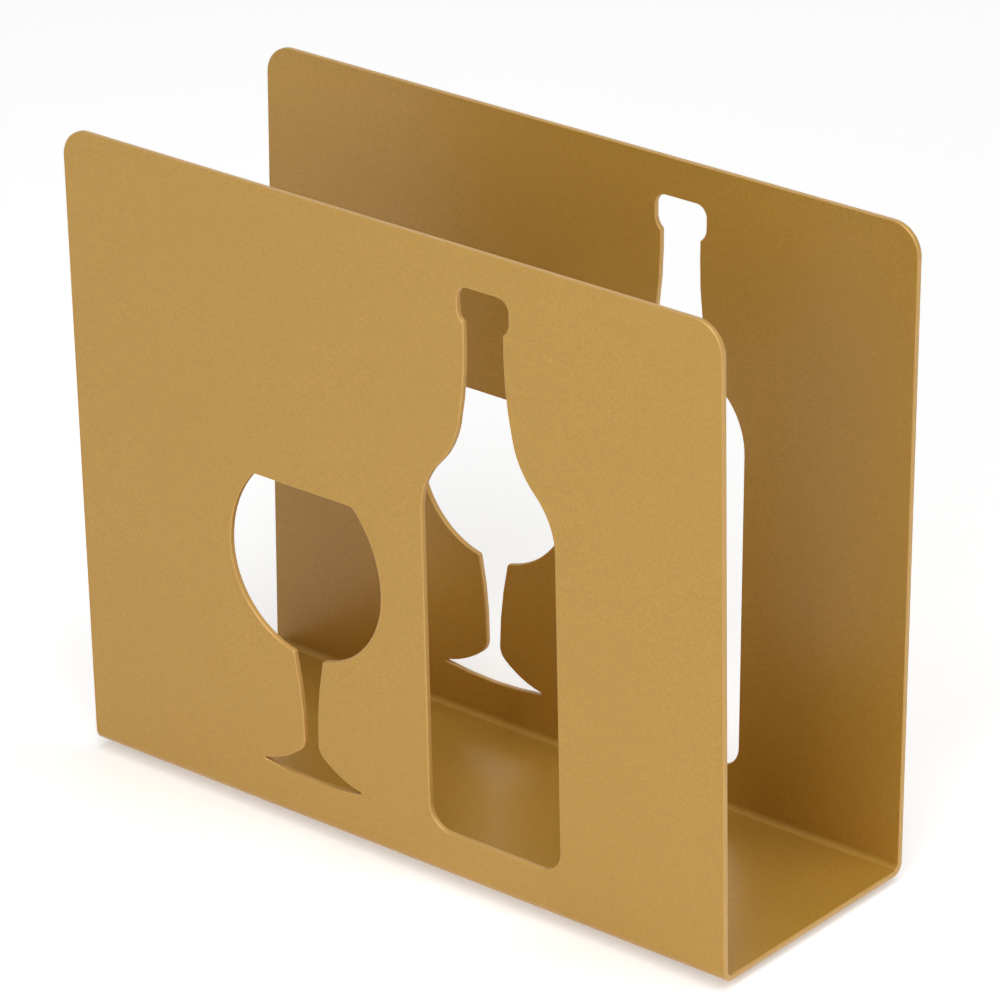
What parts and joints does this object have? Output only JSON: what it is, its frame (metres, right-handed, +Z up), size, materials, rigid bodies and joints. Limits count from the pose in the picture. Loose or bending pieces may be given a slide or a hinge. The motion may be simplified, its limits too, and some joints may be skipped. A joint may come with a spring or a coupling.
{
  "type": "napkin holder",
  "caption": "Upright napkin holder folded from one metal sheet into a U, with a bottle and a wine glass cut through both walls, on self-adhesive rubber pads.",
  "frame": {"origin": "middle of the box around the object, on the surface that the pads stand on", "axes": "+X along the folds, from the glass towards the bottle; +Y from the front wall to the rear wall; +Z up"},
  "size_m": [0.13, 0.049, 0.1098],
  "materials": {
    "gold_coat": "satin metallic gold powder coat on steel sheet",
    "pad_rubber": "matt black rubber",
    "adhesive_film": "pale pressure-sensitive film"
  },
  "bodies": {
    "root": {"holder_body": "gold_coat", "foot_pad_front_left": "pad_rubber", "foot_pad_front_right": "pad_rubber", "foot_pad_rear_left": "pad_rubber", "foot_pad_rear_right": "pad_rubber", "adhesive_disc_front_left": "adhesive_film", "adhesive_disc_front_right": "adhesive_film", "adhesive_disc_rear_left": "adhesive_film", "adhesive_disc_rear_right": "adhesive_film"}
  },
  "joints": []
}
